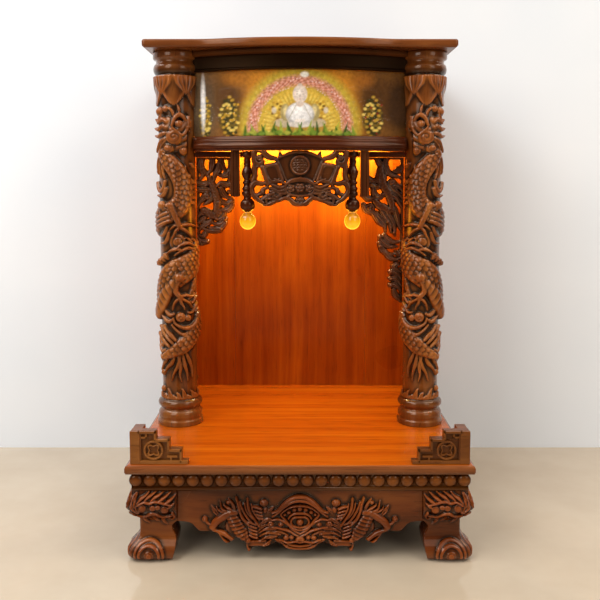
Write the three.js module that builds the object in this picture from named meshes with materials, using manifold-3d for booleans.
// Household altar cabinet of carved and varnished wood.
// A footed base with a beaded frieze carries two dragon columns, a boarded back, plain side boards,
// a roof board with a bowed front and a glazed picture frieze. Two pendant lamps, a pierced centre
// panel and two pierced brackets hang below the frieze, and two stepped fences stand on the corners.
// Millimetres, +X to the right, +Y to the back, +Z up, origin on the ground below the middle.
import * as THREE from "three";
import { mergeVertices } from "three/addons/utils/BufferGeometryUtils.js";
import Module from "manifold-3d";

const wasm = await Module();
wasm.setup();

// ---- driving dimensions ----
const GAP = 0.3;              // clearance between touching pieces
const BASE_HALF = 280;        // half depth of the base, front edge to middle
const TOP_HALF_X = 281.5;     // half width of the base board
const FLOOR_Z = 161;          // upper face of the base board
const BOARD = 16;             // thickness of the base board
const RAIL_HALF = 268;        // half width of the bead rail's core
const RAIL_Z = [116.8, 144.7];
const BEAD_Z = 133.6;
const BEAD_R = 9.8;
const BEAD_PITCH = 23.1;
const BEADS = 24;
const LEG_TOP = 116.5;
const LEG_INNER = 200;        // inner edge of a leg's head
const LEG_OUTER = 277;
const APRON_Y = [-262, -246]; // front apron, before its relief
const COLUMN_X = 227;
const COLUMN_Y = -34;
const ROOF_Z = [848.4, 863];
const ROOF_HALF_X = 276;
const ROOF_FRONT = -101;
const ROOF_BOW = 24;          // how far the roof's front swells between the columns
const ROOF_BACK = 268;
const BACK_Y = [241, 254];    // back boards
const SEAM_X = 144;           // joints between the back boards
const SIDE_X = [237, 251];    // side boards
const SIDE_FRONT = 9.2;
const FRIEZE_END = 195;       // where the bowed frieze meets the columns
const FRIEZE_END_Y = -45;
const FRIEZE_BOW = 47;
const GLASS_Z = [696, 812];
const HANG_Z = 669.7;         // underside of the frieze, from which the carvings hang
const LAMP_X = 95;
const LAMP_Y = -70;

const WOOD = { color: 0x6b3a1c, roughness: 0.35, metalness: 0 };
const DARK = { color: 0x4a2413, roughness: 0.35, metalness: 0 };
const RED = { color: 0xa2400f, roughness: 0.3, metalness: 0 };

const group = new THREE.Group();

// ---- helpers ----
function add(name, geometry, look = WOOD, options = {}) {
  const material = new THREE.MeshStandardMaterial({ ...look, ...options });
  const mesh = new THREE.Mesh(geometry, material);
  mesh.name = name;
  group.add(mesh);
}

const clamp01 = (t) => Math.min(1, Math.max(0, t));
const smooth = (t) => clamp01(t) ** 2 * (3 - 2 * clamp01(t));
const radians = THREE.MathUtils.degToRad;

/** Straight-line interpolation through [position, value] knots. */
function through(knots, t) {
  for (let k = 1; k < knots.length; k++) {
    const [t0, v0] = knots[k - 1];
    const [t1, v1] = knots[k];
    if (t <= t1) return v0 + (v1 - v0) * clamp01((t - t0) / (t1 - t0));
  }
  return knots[knots.length - 1][1];
}

/** A closed mesh from points and triangles, turned so that its faces point out. */
function closed(points, triangles) {
  let volume = 0;
  for (let k = 0; k < triangles.length; k += 3) {
    const [a, b, c] = [0, 1, 2].map((j) => points[triangles[k + j]]);
    volume += a[0] * (b[1] * c[2] - b[2] * c[1]) + a[1] * (b[2] * c[0] - b[0] * c[2])
      + a[2] * (b[0] * c[1] - b[1] * c[0]);
  }
  if (volume < 0) {
    for (let k = 0; k < triangles.length; k += 3) {
      [triangles[k], triangles[k + 1]] = [triangles[k + 1], triangles[k]];
    }
  }
  const geometry = new THREE.BufferGeometry();
  geometry.setAttribute("position", new THREE.Float32BufferAttribute(points.flat(), 3));
  geometry.setIndex(triangles);
  return geometry;
}

function solid(geometry) {
  const bare = geometry.clone();
  bare.deleteAttribute("normal");
  bare.deleteAttribute("uv");
  const merged = mergeVertices(bare, 1e-3);
  return new wasm.Manifold(new wasm.Mesh({
    numProp: 3,
    vertProperties: new Float32Array(merged.attributes.position.array),
    triVerts: new Uint32Array(merged.index.array),
  }));
}

function surface(manifold) {
  const mesh = manifold.getMesh();
  const geometry = new THREE.BufferGeometry();
  geometry.setAttribute("position", new THREE.BufferAttribute(mesh.vertProperties, 3));
  geometry.setIndex(new THREE.BufferAttribute(mesh.triVerts, 1));
  return geometry;
}

function join(parts, cuts = []) {
  const whole = parts.map(solid).reduce((a, b) => a.add(b));
  return surface(cuts.map(solid).reduce((a, b) => a.subtract(b), whole));
}

function box(x0, x1, y0, y1, z0, z1) {
  const geometry = new THREE.BoxGeometry(x1 - x0, y1 - y0, z1 - z0);
  return geometry.translate((x0 + x1) / 2, (y0 + y1) / 2, (z0 + z1) / 2);
}

function mirrored(geometry) {
  return closed(pointsOf(geometry).map(([x, y, z]) => [-x, y, z]), indexOf(geometry));
}

/** The same piece turned to the other end of the cabinet's depth. */
function toBack(geometry) {
  return mirrored(geometry.clone().rotateZ(Math.PI));
}

/** A shape from its corner points, turned anticlockwise so that its holes keep their sense. */
function outline(points) {
  const corners = points.map(([x, y]) => new THREE.Vector2(x, y));
  return new THREE.Shape(THREE.ShapeUtils.isClockWise(corners) ? corners.reverse() : corners);
}

/** Extrudes an outline drawn in X and Z from y0 back to y1. */
function standing(shape, y0, y1, curveSegments = 6) {
  const geometry = new THREE.ExtrudeGeometry(shape, {
    depth: y1 - y0, bevelEnabled: false, curveSegments,
  });
  return geometry.rotateX(Math.PI / 2).translate(0, y1, 0);
}

/** A disc that faces the front, on the plane y, standing out by height. */
function disc(x, y, z, radius, height, sides = 14, top = radius) {
  const geometry = new THREE.CylinderGeometry(radius, top, height, sides);
  return geometry.translate(x, 0, 0).translate(0, y - height / 2, z);
}

/** A turned piece about the vertical through (x, y), from [z, radius] rings. */
function turned(rings, x, y, sides) {
  const first = rings[0][0];
  const last = rings[rings.length - 1][0];
  const profile = [[first, 0], ...rings, [last, 0]].map(([z, r]) => new THREE.Vector2(r, z));
  return new THREE.LatheGeometry(profile, sides).rotateX(Math.PI / 2).translate(x, y, 0);
}

// ---- base ----
function baseBoard() {
  const nose = 5;
  const x = TOP_HALF_X - nose;
  const y = BASE_HALF - nose;
  const shape = outline([[-x, -y], [x, -y], [x, y], [-x, y]]);
  const geometry = new THREE.ExtrudeGeometry(shape, {
    depth: BOARD - 2 * nose, bevelThickness: nose, bevelSize: nose, bevelSegments: 2,
  });
  return geometry.translate(0, 0, FLOOR_Z - BOARD + nose);
}

/** A dome of few sides that swells from the plane y towards the front. */
function bead(x, y, z) {
  const rings = [[0, -2], [BEAD_R, -2], [BEAD_R * 0.8, 4.6], [0, 7.6]];
  const profile = rings.map(([r, h]) => new THREE.Vector2(r, h));
  return new THREE.LatheGeometry(profile, 5).rotateX(Math.PI).translate(x, y, z);
}

/** One side of the beaded rail, made along the front and turned by the caller. */
function beadRail(half, first, count) {
  const core = box(-half, half, -RAIL_HALF, -RAIL_HALF + 18, RAIL_Z[0], RAIL_Z[1]);
  const fillet = box(-half, half, -RAIL_HALF - 4, -RAIL_HALF + 4, RAIL_Z[0], RAIL_Z[0] + 6);
  const cap = box(-half, half, -RAIL_HALF - 3, -RAIL_HALF + 4, RAIL_Z[1] - 1.6, RAIL_Z[1]);
  const beads = Array.from({ length: count }, (_, k) => bead(first + k * BEAD_PITCH, -RAIL_HALF, BEAD_Z));
  return join([core, fillet, cap, ...beads]);
}

// ---- aprons ----
/** Half of the front apron's lower edge, from the middle to the leg: jaws, plates, paws and an arch. */
const APRON_EDGE = [
  [0, 15.5], [20, 16], [36, 28], [46, 24], [58, 20.7], [76, 22], [83, 13], [90, 29], [104, 37],
  [120, 27.5],
  [129, 35], [139, 46], [164, 46], [172, 55], [181, 60.3], [200, 62.3],
];

/** How far the apron's carving stands out: a central mask with two dragons facing it. */
function apronRelief(x, z) {
  const u = Math.abs(x);
  const mound = (cu, cz, ru, rz, height) => {
    const d = ((u - cu) / ru) ** 2 + ((z - cz) / rz) ** 2;
    return d < 1 ? height * Math.sqrt(1 - d) : 0;
  };
  const mask = Math.max(mound(0, 66, 42, 37, 12), mound(0, 30, 42, 18, 12), mound(56, 54, 20, 16, 13));
  const body = Math.max(mound(100, 58, 34, 26, 12), mound(72, 78, 40, 18, 7), mound(78, 34, 30, 14, 8));
  const limb = Math.max(mound(138, 66, 16, 12, 10), mound(120, 42, 20, 16, 10), mound(112, 92, 34, 11, 5));
  return Math.max(mask, body, limb);
}

/** A slab whose front is carved, between a lower edge and a straight top. */
function carvedApron(half, columns, rows) {
  const points = [];
  const triangles = [];
  const across = rows + 1;
  const front = (i, j) => i * across + j;
  const back = (i, j) => (columns + 1) * across + 2 * i + j;
  for (let i = 0; i <= columns; i++) {
    const x = -half + (2 * half * i) / columns;
    for (let j = 0; j <= rows; j++) {
      const low = through(APRON_EDGE, Math.abs(x));
      const z = low + ((LEG_TOP - low) * j) / rows;
      points.push([x, APRON_Y[0] - apronRelief(x, z), z]);
    }
  }
  for (let i = 0; i <= columns; i++) {
    const [x, , low] = points[front(i, 0)];
    points.push([x, APRON_Y[1], low], [x, APRON_Y[1], LEG_TOP]);
  }
  const quad = (a, b, c, d) => triangles.push(a, b, c, a, c, d);
  for (let i = 0; i < columns; i++) {
    for (let j = 0; j < rows; j++) quad(front(i, j), front(i + 1, j), front(i + 1, j + 1), front(i, j + 1));
    quad(back(i, 0), back(i, 1), back(i + 1, 1), back(i + 1, 0));
    quad(front(i, 0), back(i, 0), back(i + 1, 0), front(i + 1, 0));
    quad(front(i, rows), front(i + 1, rows), back(i + 1, 1), back(i, 1));
  }
  for (const [i, turn] of [[0, false], [columns, true]]) {
    const rim = Array.from({ length: across }, (_, j) => front(i, j));
    for (let j = 0; j < rows; j++) {
      triangles.push(...(turn ? [back(i, 0), rim[j + 1], rim[j]] : [back(i, 0), rim[j], rim[j + 1]]));
    }
    triangles.push(...(turn ? [back(i, 0), back(i, 1), rim[rows]] : [back(i, 0), rim[rows], back(i, 1)]));
  }
  return closed(points, triangles);
}

/** A plain apron with the same arch, for the sides and the back. */
function plainApron(half) {
  const shape = new THREE.Shape();
  shape.moveTo(-half, LEG_TOP);
  shape.lineTo(-half, 62);
  shape.lineTo(20 - half, 60);
  shape.quadraticCurveTo(30 - half, 46, 52 - half, 44);
  shape.lineTo(half - 52, 44);
  shape.quadraticCurveTo(half - 30, 46, half - 20, 60);
  shape.lineTo(half, 62);
  shape.lineTo(half, LEG_TOP);
  return standing(shape, APRON_Y[0], APRON_Y[1], 3);
}

// ---- legs ----
/** A leg's face: a square head, a drawn-in neck and a foot rolled outwards; inner edge first. */
function legOutline() {
  const inner = LEG_INNER + GAP;
  const shape = new THREE.Shape();
  shape.moveTo(inner, LEG_TOP);
  shape.lineTo(inner, 63);
  shape.quadraticCurveTo(211, 56, 206, 42);
  shape.quadraticCurveTo(198, 20, 208, 0);
  shape.lineTo(266, 0);
  shape.quadraticCurveTo(LEG_OUTER, 4, LEG_OUTER - 0.5, 18);
  shape.quadraticCurveTo(273, 40, 262, 44);
  shape.lineTo(262, 66);
  shape.quadraticCurveTo(274, 70, LEG_OUTER, 86);
  shape.lineTo(270, LEG_TOP);
  return shape;
}

/** A curved strand of hair or horn on the plane y, tapering along its ring points in X and Z. */
function strand(points, width, y, height) {
  const steps = 3;
  const curve = new THREE.CatmullRomCurve3(points.map(([x, z]) => new THREE.Vector3(x, z, 0)));
  const left = [];
  const right = [];
  for (let k = 0; k <= steps; k++) {
    const p = curve.getPoint(k / steps);
    const d = curve.getTangent(k / steps);
    const w = width * (1 - (0.7 * k) / steps);
    left.push([p.x - d.y * w, p.y + d.x * w]);
    right.unshift([p.x + d.y * w, p.y - d.x * w]);
  }
  return standing(outline([...left, ...right]), y - height, y + 3, 1);
}

/** The carving on one face of a leg: brow strands, eyes, snout and the foot's scroll. */
function legCarving(y) {
  return [
    strand([[236, 88], [226, 100], [213, 112]], 4.5, y, 4),
    strand([[246, 97], [234, 106], [226, 114]], 3.5, y, 3.5),
    strand([[250, 75], [240, 80], [236, 83], [220, 75]], 3, y, 4),
    disc(218, y + 1, 88, 7, 6, 6, 3), disc(255, y + 1, 91, 8, 6, 6, 3.5),
  ];
}

/** A solid leg: the face outline cut through both ways, with the carving laid on its two outer faces. */
function leg(carved) {
  const depth = LEG_OUTER - LEG_INNER - GAP;
  const face = solid(standing(legOutline(), -LEG_OUTER, -LEG_OUTER + depth, 3));
  const onSide = (geometry) => closed(pointsOf(geometry).map(([x, y, z]) => [-y, -x, z]), indexOf(geometry));
  const block = face.intersect(solid(onSide(standing(legOutline(), -LEG_OUTER, -LEG_OUTER + depth, 3))));
  const scroll = [disc(243, 3 - LEG_OUTER, 20, 19.8, 7, 10, 18), disc(241, -LEG_OUTER - 2, 16, 8, 4, 6)];
  const carving = [...scroll, ...(carved ? legCarving(-LEG_OUTER) : [])];
  const tusk = carved ? [new THREE.SphereGeometry(7, 6, 5).translate(271, -271, 77)] : [];
  return surface([...carving, ...carving.map(onSide), ...tusk].map(solid).reduce((a, b) => a.add(b), block));
}

function pointsOf(geometry) {
  const from = geometry.attributes.position;
  return Array.from({ length: from.count }, (_, k) => [from.getX(k), from.getY(k), from.getZ(k)]);
}

function indexOf(geometry) {
  return geometry.index ? Array.from(geometry.index.array) : pointsOf(geometry).map((_, k) => k);
}

// ---- corner fences ----
const FENCE = { outer: 272.5, z: FLOOR_Z + GAP, thick: 17 };
/** Steps of a fence from its low end to the corner: [distance from the middle, height of the tread]. */
const FENCE_STEPS = [[180.3, 166.5], [190, 185.4], [209.8, 202.4], [231, 215.6]];

function fenceWing() {
  const points = [[FENCE.outer, FENCE.z], [FENCE.outer, FENCE_STEPS[3][1]]];
  for (let k = FENCE_STEPS.length - 1; k >= 0; k--) {
    points.push([FENCE_STEPS[k][0], FENCE_STEPS[k][1]]);
    if (k > 0) points.push([FENCE_STEPS[k][0], FENCE_STEPS[k - 1][1]]);
  }
  points.push([FENCE_STEPS[0][0], FENCE.z]);
  return standing(outline(points), -FENCE.outer, -FENCE.outer + FENCE.thick);
}

/** A corner fence: two stepped wings with a sunk panel, fret ledges and a coin in the front one. */
function cornerFence() {
  const y = -FENCE.outer;
  const front = fenceWing();
  const side = closed(pointsOf(front).map(([x, py, z]) => [-py, -x, z]), indexOf(front));
  const sunk = 6;
  const recess = (x0, x1, z0, z1) => box(x0, x1, y - 1, y + sunk, z0, z1);
  const cuts = [recess(214, 257.5, 168, 199), recess(234, 257.5, 198, 211.5), recess(194, 215, 168, 181)];
  const ledges = [
    box(245.5, 258, y + 1, y + 8, 203.5, 207), box(196, 214.5, y + 2, y + 8, 172, 175.5),
    box(205, 208.5, y + 2, y + 8, 167, 173),
  ];
  const coin = [disc(235.7, y + 7, 184, 14.6, 5, 12), disc(235.7, y + 3, 184, 5, 2.5, 4)];
  const panel = solid(front).add(solid(side));
  const cut = cuts.map(solid).reduce((a, b) => a.subtract(b), panel);
  return surface([...ledges, ...coin].map(solid).reduce((a, b) => a.add(b), cut));
}

// ---- columns ----
const FOOT_RINGS = [
  [FLOOR_Z + GAP, 42.3], [170, 42.7], [172, 40.2], [178, 41], [186, 39.8], [192, 34.6], [195, 38.6],
  [201, 41.3], [207, 38.8], [212, 32.4],
];
const HEAD_RINGS = [
  [761, 34.4], [775, 37], [787, 39.8], [800, 40.3], [807, 36.5], [810, 39.6], [817.6, 41.1], [825, 39.6],
  [828, 36], [834.6, 36], [835.4, 41.6], [ROOF_Z[0] - GAP, 41.4],
];
// centre line of the dragon's body as it winds down the shaft: [degrees about the shaft, height]
const BODY_PATH = [
  [-63, 587], [0, 569], [90, 536], [270, 476], [450, 417], [630, 345], [720, 319], [790, 291],
];
const BODY_WIDTH = [[-63, 15], [0, 20], [90, 24], [360, 25], [540, 21], [720, 15], [790, 7]];
const NECK_PATH = [[-60, 601], [-5, 639], [45, 672]];
// raised knobs on the right column: [degrees from the front towards the outside, height, radius, relief]
const KNOBS = [
  [48, 741, 15, 7], [-12, 731, 14, 6], [-26, 677, 11, 7], [10, 673, 11, 7], [2, 707, 17, 7],
  [-48, 704, 14, 6],
  [42, 695, 14, 6], [-26, 526, 14, 6], [10, 521, 13, 6], [48, 483, 16, 7], [-12, 403, 15, 7],
  [-32, 377, 12, 6],
  [10, 369, 12, 6], [-12, 350, 14, 7], [40, 355, 12, 5], [2, 275, 18, 5], [180, 729, 20, 5],
  [180, 489, 20, 5],
  [180, 369, 20, 5],
];

/** Arc distance in degrees between two bearings about the shaft. */
const bearing = (a, b) => Math.abs(((a - b + 540) % 360) - 180);

/** Height of the dragon's relief over the shaft. */
function dragon(phi, z, shaft) {
  const arc = radians(shaft);
  let height = 0;
  for (const turn of [0, 360, 720]) {
    const psi = phi + turn;
    if (psi < -70 || psi > 795) continue;
    const width = through(BODY_WIDTH, psi);
    const across = Math.abs(z - through(BODY_PATH, psi)) * 0.9;
    if (across < width) height = Math.max(height, 8.5 * Math.sqrt(1 - (across / width) ** 2));
  }
  if (phi > -72 && phi < 50) {
    const across = Math.abs(z - through(NECK_PATH, phi)) * 0.8;
    if (across < 16) height = Math.max(height, 8 * Math.sqrt(1 - (across / 16) ** 2));
  }
  for (const [at, level, radius, relief] of KNOBS) {
    const d = Math.hypot(bearing(phi, at) * arc, z - level) / radius;
    if (d < 1) height = Math.max(height, relief * Math.sqrt(1 - d * d));
  }
  // the shaft stays plain where the bracket and the frieze are let in
  const [middle, half] = z < 649 ? [-108, 22] : z < 705 ? [-82, 52] : [-82, 30];
  const plain = z > 385 ? 1 - smooth((bearing(phi, middle) - half) / 14) : 0;
  return height * (1 - plain);
}

function column(side) {
  const sides = 12;
  const carved = Array.from({ length: 17 }, (_, k) => 232 + k * 31.6);
  const rows = [
    ...FOOT_RINGS,
    ...carved.map((z) => [z, 32 + (1.4 * (z - 213)) / 560]),
    ...HEAD_RINGS,
  ];
  const points = [];
  const triangles = [];
  for (const [z, shaft] of rows) {
    const onShaft = z > 229 && z < 757;
    for (let k = 0; k < sides; k++) {
      const phi = (360 * k) / sides - 90;
      const petal = z > 769 && z < 801 ? 0.8 * Math.cos(radians(8 * phi)) : 0;
      const r = shaft + petal + (onShaft ? dragon(phi, z, shaft) : 0);
      const x = side * (COLUMN_X + r * Math.sin(radians(phi)));
      points.push([x, COLUMN_Y - r * Math.cos(radians(phi)), z]);
    }
  }
  for (let i = 0; i + 1 < rows.length; i++) {
    for (let k = 0; k < sides; k++) {
      const [a, b] = [i * sides + k, i * sides + ((k + 1) % sides)];
      triangles.push(a, b, b + sides, a, b + sides, a + sides);
    }
  }
  const top = (rows.length - 1) * sides;
  for (let k = 1; k + 1 < sides; k++) {
    triangles.push(0, k + 1, k, top, top + k, top + k + 1);
  }
  return closed(points, triangles);
}

/** The room a column takes, as a plain turned form, to trim the pieces let in beside it. */
function columnRoom(side) {
  const rings = [
    [600, 34.6], [757, 34.8], [765, 36], [779, 40], [789, 42], [851, 43.2],
  ];
  return turned(rings.map(([z, r]) => [z, r + GAP]), side * COLUMN_X, COLUMN_Y, 24);
}

// ---- frieze ----
function friezeY(x) {
  return FRIEZE_END_Y - FRIEZE_BOW * (1 - (x / FRIEZE_END) ** 2);
}

/** A piece that follows the bow of the frieze: a closed section in [depth, height] swept across it. */
function bowed(section, half, steps) {
  const points = [];
  const triangles = [];
  const n = section.length;
  for (let i = 0; i <= steps; i++) {
    const x = -half + (2 * half * i) / steps;
    for (const [depth, z] of section) points.push([x, friezeY(x) + depth, z]);
  }
  for (let i = 0; i < steps; i++) {
    for (let k = 0; k < n; k++) {
      const [a, b] = [i * n + k, i * n + ((k + 1) % n)];
      triangles.push(a, b, b + n, a, b + n, a + n);
    }
  }
  const faces = THREE.ShapeUtils.triangulateShape(section.map(([d, z]) => new THREE.Vector2(d, z)), []);
  for (const [a, b, c] of faces) {
    triangles.push(a, c, b, steps * n + a, steps * n + b, steps * n + c);
  }
  return closed(points, triangles);
}

function trimmed(geometry) {
  return join([geometry], [columnRoom(-1), columnRoom(1)]);
}

function friezeBottomSection() {
  const z = HANG_Z + GAP;
  return [
    [10, z], [10, GLASS_Z[0] - GAP], [-7, GLASS_Z[0] - GAP], [-7, 690.5], [-10.5, 689], [-10.5, 684],
    [-14.5, 681.5], [-14.5, 674], [-9, z],
  ];
}

// ---- roof ----
function roofBoard() {
  const edge = 4.5;
  const bowHalf = 165;
  const steps = 8;
  const front = [];
  for (let k = 0; k <= steps; k++) {
    const x = -bowHalf + (2 * bowHalf * k) / steps;
    front.push([x, ROOF_FRONT + edge - ROOF_BOW * (1 - (x / bowHalf) ** 2)]);
  }
  const x = ROOF_HALF_X - edge;
  const back = ROOF_BACK - edge;
  const shape = outline([[-x, ROOF_FRONT + edge], ...front, [x, ROOF_FRONT + edge], [x, back], [-x, back]]);
  const geometry = new THREE.ExtrudeGeometry(shape, {
    depth: ROOF_Z[1] - ROOF_Z[0] - 2 * edge, bevelThickness: edge, bevelSize: edge, bevelSegments: 2,
  });
  return geometry.translate(0, 0, ROOF_Z[0] + edge);
}

// ---- hanging carvings ----
const FRET_Y = [-93, -81];

/** Half of the pierced centre panel, from the middle of its top round its side to its lowest point. */
const FRET_EDGE = [
  [9, HANG_Z], [25, 665.5], [33, 660.5], [36, 667], [42, 655], [49, 657], [56, 664],
  [64, HANG_Z], [80, HANG_Z], [83, 661], [82, 634], [83, 621], [88.5, 613], [89, 599], [85, 588],
  [79, 581], [69, 576], [66, 570.5], [60, 570.5], [53, 574], [48, 578.5], [36, 581], [26, 582],
  [12, 576.5], [0, 572],
];
const FRET_HOLES = [
  [[66.5, 658], [72, 661.5], [77, 657], [77, 649], [74.5, 649], [73.5, 655], [70, 657]],
  [[38, 648.5], [47, 650], [51, 655], [57, 654], [66, 648], [65, 643], [45, 646.5]],
  [[74, 639], [76, 626], [71, 615], [64.8, 612], [69, 625]],
  [[64, 603.5], [71, 604.5], [76.5, 599], [76, 592], [71, 587], [72.5, 593], [70, 599]],
  [[56.5, 596], [63, 602.5], [64, 595]], [[45, 607.5], [34, 607.5], [38, 601.5]],
  [[24, 610.5], [16, 616], [7.5, 616.5], [15, 613.5], [21, 609]], [[25.5, 598.5], [20.5, 592.5],
  [24, 587], [33, 591]],
];

/** A flat pierced plate in X and Z between two depths, with raised pieces laid on it. */
function pierced(edge, holes, [y0, y1], raised) {
  const cuts = holes.map((hole) => standing(outline(hole), y0 - 1, y1 + 1));
  return join([join([standing(outline(edge), y0, y1)], cuts), ...raised]);
}

const flip = (points) => points.map(([x, z]) => [-x, z]);

function fretwork() {
  const y = FRET_Y[0];
  const edge = [...FRET_EDGE, ...flip(FRET_EDGE).reverse().slice(1)];
  const book = [[31, 615], [56, 613], [63, 640], [40, 645]];
  const fan = [[-24, 618], [-42, 651], [-22, 663], [22, 663], [42, 651], [24, 618]];
  const raised = [
    standing(outline(fan), y - 1.5, y + 2), disc(0, y + 1, 643.6, 17, 6, 9), disc(0, y + 1, 604, 9, 6, 8, 7),
    disc(0, y + 1, 583, 8, 5, 8, 6), ...[book, flip(book)].map((b) => standing(outline(b), y - 3, y + 2)),
    ...[-1, 1].map((s) => disc(16.5 * s, y + 1, 602, 8, 4, 7, 6)),
    ...[-1, 1].map((s) => disc(66.5 * s, y + 1, 593, 4.5, 4, 7, 3)),
  ];
  return pierced(edge, [...FRET_HOLES, ...FRET_HOLES.map(flip)], FRET_Y, raised);
}

const BRACKET_Y = [-32, -20];
const COLUMN_SIDE = 192.6;    // where a bracket meets its column
const BRACKET_TOP = 659.6;

const LEFT_BRACKET = {
  edge: [
    [COLUMN_SIDE, BRACKET_TOP], [127, BRACKET_TOP], [127, 586], [126, 571], [129, 563.5], [140, 558],
    [142, 552],
    [137.5, 544], [139.5, 531], [148, 525.5], [157, 521], [167, 522.5], [176, 519.5], [184, 513],
    [180, 507],
    [173, 503], [184, 498], [COLUMN_SIDE, 520],
  ],
  holes: [
    [[180, 657], [166, 657], [167, 649], [176.5, 647], [173.5, 626], [189, 618.5], [184, 637]],
    [[161, 634], [158, 644], [151, 645], [152, 634]], [[141, 657], [132.5, 658], [133, 644], [139, 641]],
    [[142, 599], [129.5, 607], [129.5, 597], [139, 589]], [[158, 595], [150, 598], [142, 586],
    [159, 572]],
    [[171, 551], [163, 539.5], [171, 537.5], [178, 542]], [[157, 545], [149, 547], [150, 539]],
  ],
  ribs: [
    [[188, 545], [170, 580], [160, 620]], [[180, 540], [160, 566], [132, 578]], [[184, 600],
    [160, 612], [134, 640]],
    [[188, 520], [170, 530], [146, 536]],
  ],
};
const RIGHT_BRACKET = {
  edge: [
    [COLUMN_SIDE, BRACKET_TOP], [119, BRACKET_TOP], [119, 590], [115, 586], [117, 561.5],
    [129, 557.5], [137, 541.5],
    [156, 514], [148, 510], [149, 489], [165, 475], [185, 467], [186, 462], [178, 460], [184, 455],
    [169, 445.5],
    [177, 443.5], [169, 434], [177, 428.5], [169, 421], [177.5, 418], [175, 412], [186, 393],
    [COLUMN_SIDE, 393],
  ],
  holes: [
    [[125, 658], [139.5, 658], [139, 651.5], [150, 639], [140, 626], [139.5, 635], [125, 638]],
    [[166, 658], [187, 658], [187.5, 638], [175, 635.5], [165, 628], [163.5, 643]],
    [[182, 632], [182, 625], [174, 621]], [[124, 601.5], [134, 600], [134, 592], [124, 588]],
    [[143.5, 595], [151, 601.5], [149, 592.5]], [[153, 587], [161.5, 582.5], [145.5, 559.5],
    [140.5, 574]],
    [[174, 577], [186, 559.5], [190, 547], [178.5, 547], [179.5, 559.5]], [[185.5, 586], [190.5, 575],
    [187, 571]],
  ],
  ribs: [
    [[150, 640], [152, 615], [178, 600]], [[128, 580], [150, 600], [182, 612]], [[150, 550],
    [166, 570], [172, 590]],
    [[160, 492], [172, 520], [186, 540]],
  ],
};

/** A pierced bracket from its outline, its holes and its raised ribs, drawn for the right side. */
function bracket({ edge, holes, ribs }) {
  return pierced(edge, holes, BRACKET_Y, ribs.map((rib) => strand(rib, 4, BRACKET_Y[0], 2.6)));
}

function lintel() {
  return trimmed(box(106, COLUMN_SIDE + 8, -44, -18, HANG_Z - 9.8, HANG_Z));
}

function pendant(side) {
  const rings = [
    [560, 4.4], [566, 10], [573.5, 12], [580, 10], [586, 6.6], [593, 9.2], [601, 8.4], [608, 6],
    [613, 8.2],
    [618, 5.6], [629, 9.4], [642, 5], [656, 4.6], [662, 8.6], [HANG_Z, 8.8],
  ];
  return turned(rings, side * LAMP_X, LAMP_Y, 7);
}

function bulb(side) {
  const rings = [
    [528.4, 4], [533.5, 11], [540, 14], [546, 14.3], [552, 12.2], [556.5, 8.4], [560 - GAP, 6.6],
  ];
  return turned(rings, side * LAMP_X, LAMP_Y, 8);
}

// ---- assembly ----
add("base_top_board", baseBoard(), RED);
const frontRail = beadRail(RAIL_HALF + 4, -(BEADS - 1) * BEAD_PITCH / 2, BEADS);
add("bead_rail_front", frontRail, WOOD);
const sideHalf = RAIL_HALF - 18 - GAP;
const sideRail = beadRail(sideHalf, -(BEADS - 4) * BEAD_PITCH / 2, BEADS - 3);
add("bead_rail_left", sideRail.clone().rotateZ(-Math.PI / 2), WOOD);
add("bead_rail_right", sideRail.clone().rotateZ(Math.PI / 2), WOOD);
add("rail_back", box(-RAIL_HALF - 4, RAIL_HALF + 4, RAIL_HALF - 18, RAIL_HALF, ...RAIL_Z), WOOD);
add("apron_front", carvedApron(LEG_INNER, 28, 5), WOOD);
const sideApron = plainApron(LEG_INNER);
add("apron_left", sideApron.clone().rotateZ(-Math.PI / 2), WOOD);
add("apron_right", sideApron.clone().rotateZ(Math.PI / 2), WOOD);
add("apron_back", sideApron.clone().rotateZ(Math.PI), WOOD);
const frontLeg = leg(true);
const backLeg = leg(false);
add("leg_front_right", frontLeg, WOOD);
add("leg_front_left", mirrored(frontLeg), WOOD);
add("leg_back_right", toBack(backLeg), WOOD);
add("leg_back_left", mirrored(toBack(backLeg)), WOOD);
const fence = cornerFence();
add("corner_fence_right", fence, WOOD);
add("corner_fence_left", mirrored(fence), WOOD);
add("column_right", column(1), WOOD);
add("column_left", column(-1), WOOD);
const boardZ = [FLOOR_Z + GAP, ROOF_Z[0] - GAP];
const seam = GAP / 2;
add("back_board_left", box(-SIDE_X[1], -SEAM_X - seam, ...BACK_Y, ...boardZ), RED);
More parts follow.
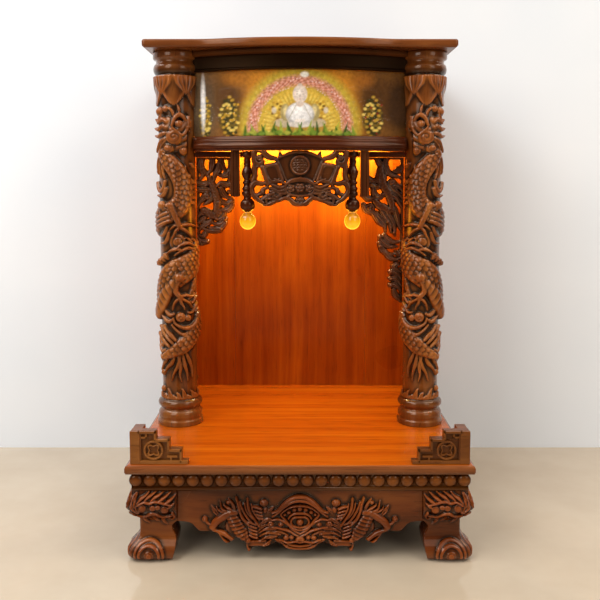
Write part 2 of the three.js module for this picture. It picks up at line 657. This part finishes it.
add("back_board_centre", box(-SEAM_X + seam, SEAM_X - seam, ...BACK_Y, ...boardZ), RED);
add("back_board_right", box(SEAM_X + seam, SIDE_X[1], ...BACK_Y, ...boardZ), RED);
add("side_board_left", box(-SIDE_X[1], -SIDE_X[0], SIDE_FRONT, BACK_Y[0] - GAP, ...boardZ), RED);
add("side_board_right", box(SIDE_X[0], SIDE_X[1], SIDE_FRONT, BACK_Y[0] - GAP, ...boardZ), RED);
add("roof_board", roofBoard(), WOOD);
const topRail = [
  [10, GLASS_Z[1] + GAP], [10, boardZ[1]], [-10, boardZ[1]], [-8, 827], [-6, GLASS_Z[1] + GAP],
];
add("frieze_top_rail", trimmed(bowed(topRail, FRIEZE_END + 20, 12)), DARK);
add("frieze_bottom_rail", trimmed(bowed(friezeBottomSection(), FRIEZE_END + 20, 12)), DARK);
const pane = (near, far) => [[near, GLASS_Z[0]], [far, GLASS_Z[0]], [far, GLASS_Z[1]], [near, GLASS_Z[1]]];
const glassLook = { transparent: true, opacity: 0.25 };
const clear = { color: 0xffffff, roughness: 0.05 };
add("frieze_glass", trimmed(bowed(pane(-3, 0), FRIEZE_END + 20, 12)), clear, glassLook);
const painted = { color: 0xd9a63a, roughness: 0.6 };
add("frieze_picture", trimmed(bowed(pane(3, 6), FRIEZE_END + 20, 12)), painted);
const rightLintel = lintel();
add("lintel_right", rightLintel, DARK);
add("lintel_left", mirrored(rightLintel), DARK);
add("hanging_post_right", box(108.6, 124.4, -78, -66, 588, HANG_Z), DARK);
add("hanging_post_left", box(-124.4, -108.6, -78, -66, 588, HANG_Z), DARK);
for (const [name, side] of [["left", -1], ["right", 1]]) {
  add(`pendant_${name}`, pendant(side), DARK);
  add(`lamp_bulb_${name}`, bulb(side), { color: 0xffc04a, roughness: 0.2, emissive: 0xff9a20 });
}
add("centre_fretwork", fretwork(), DARK);
add("bracket_right", bracket(RIGHT_BRACKET), DARK);
add("bracket_left", mirrored(bracket(LEFT_BRACKET)), DARK);

export default group;
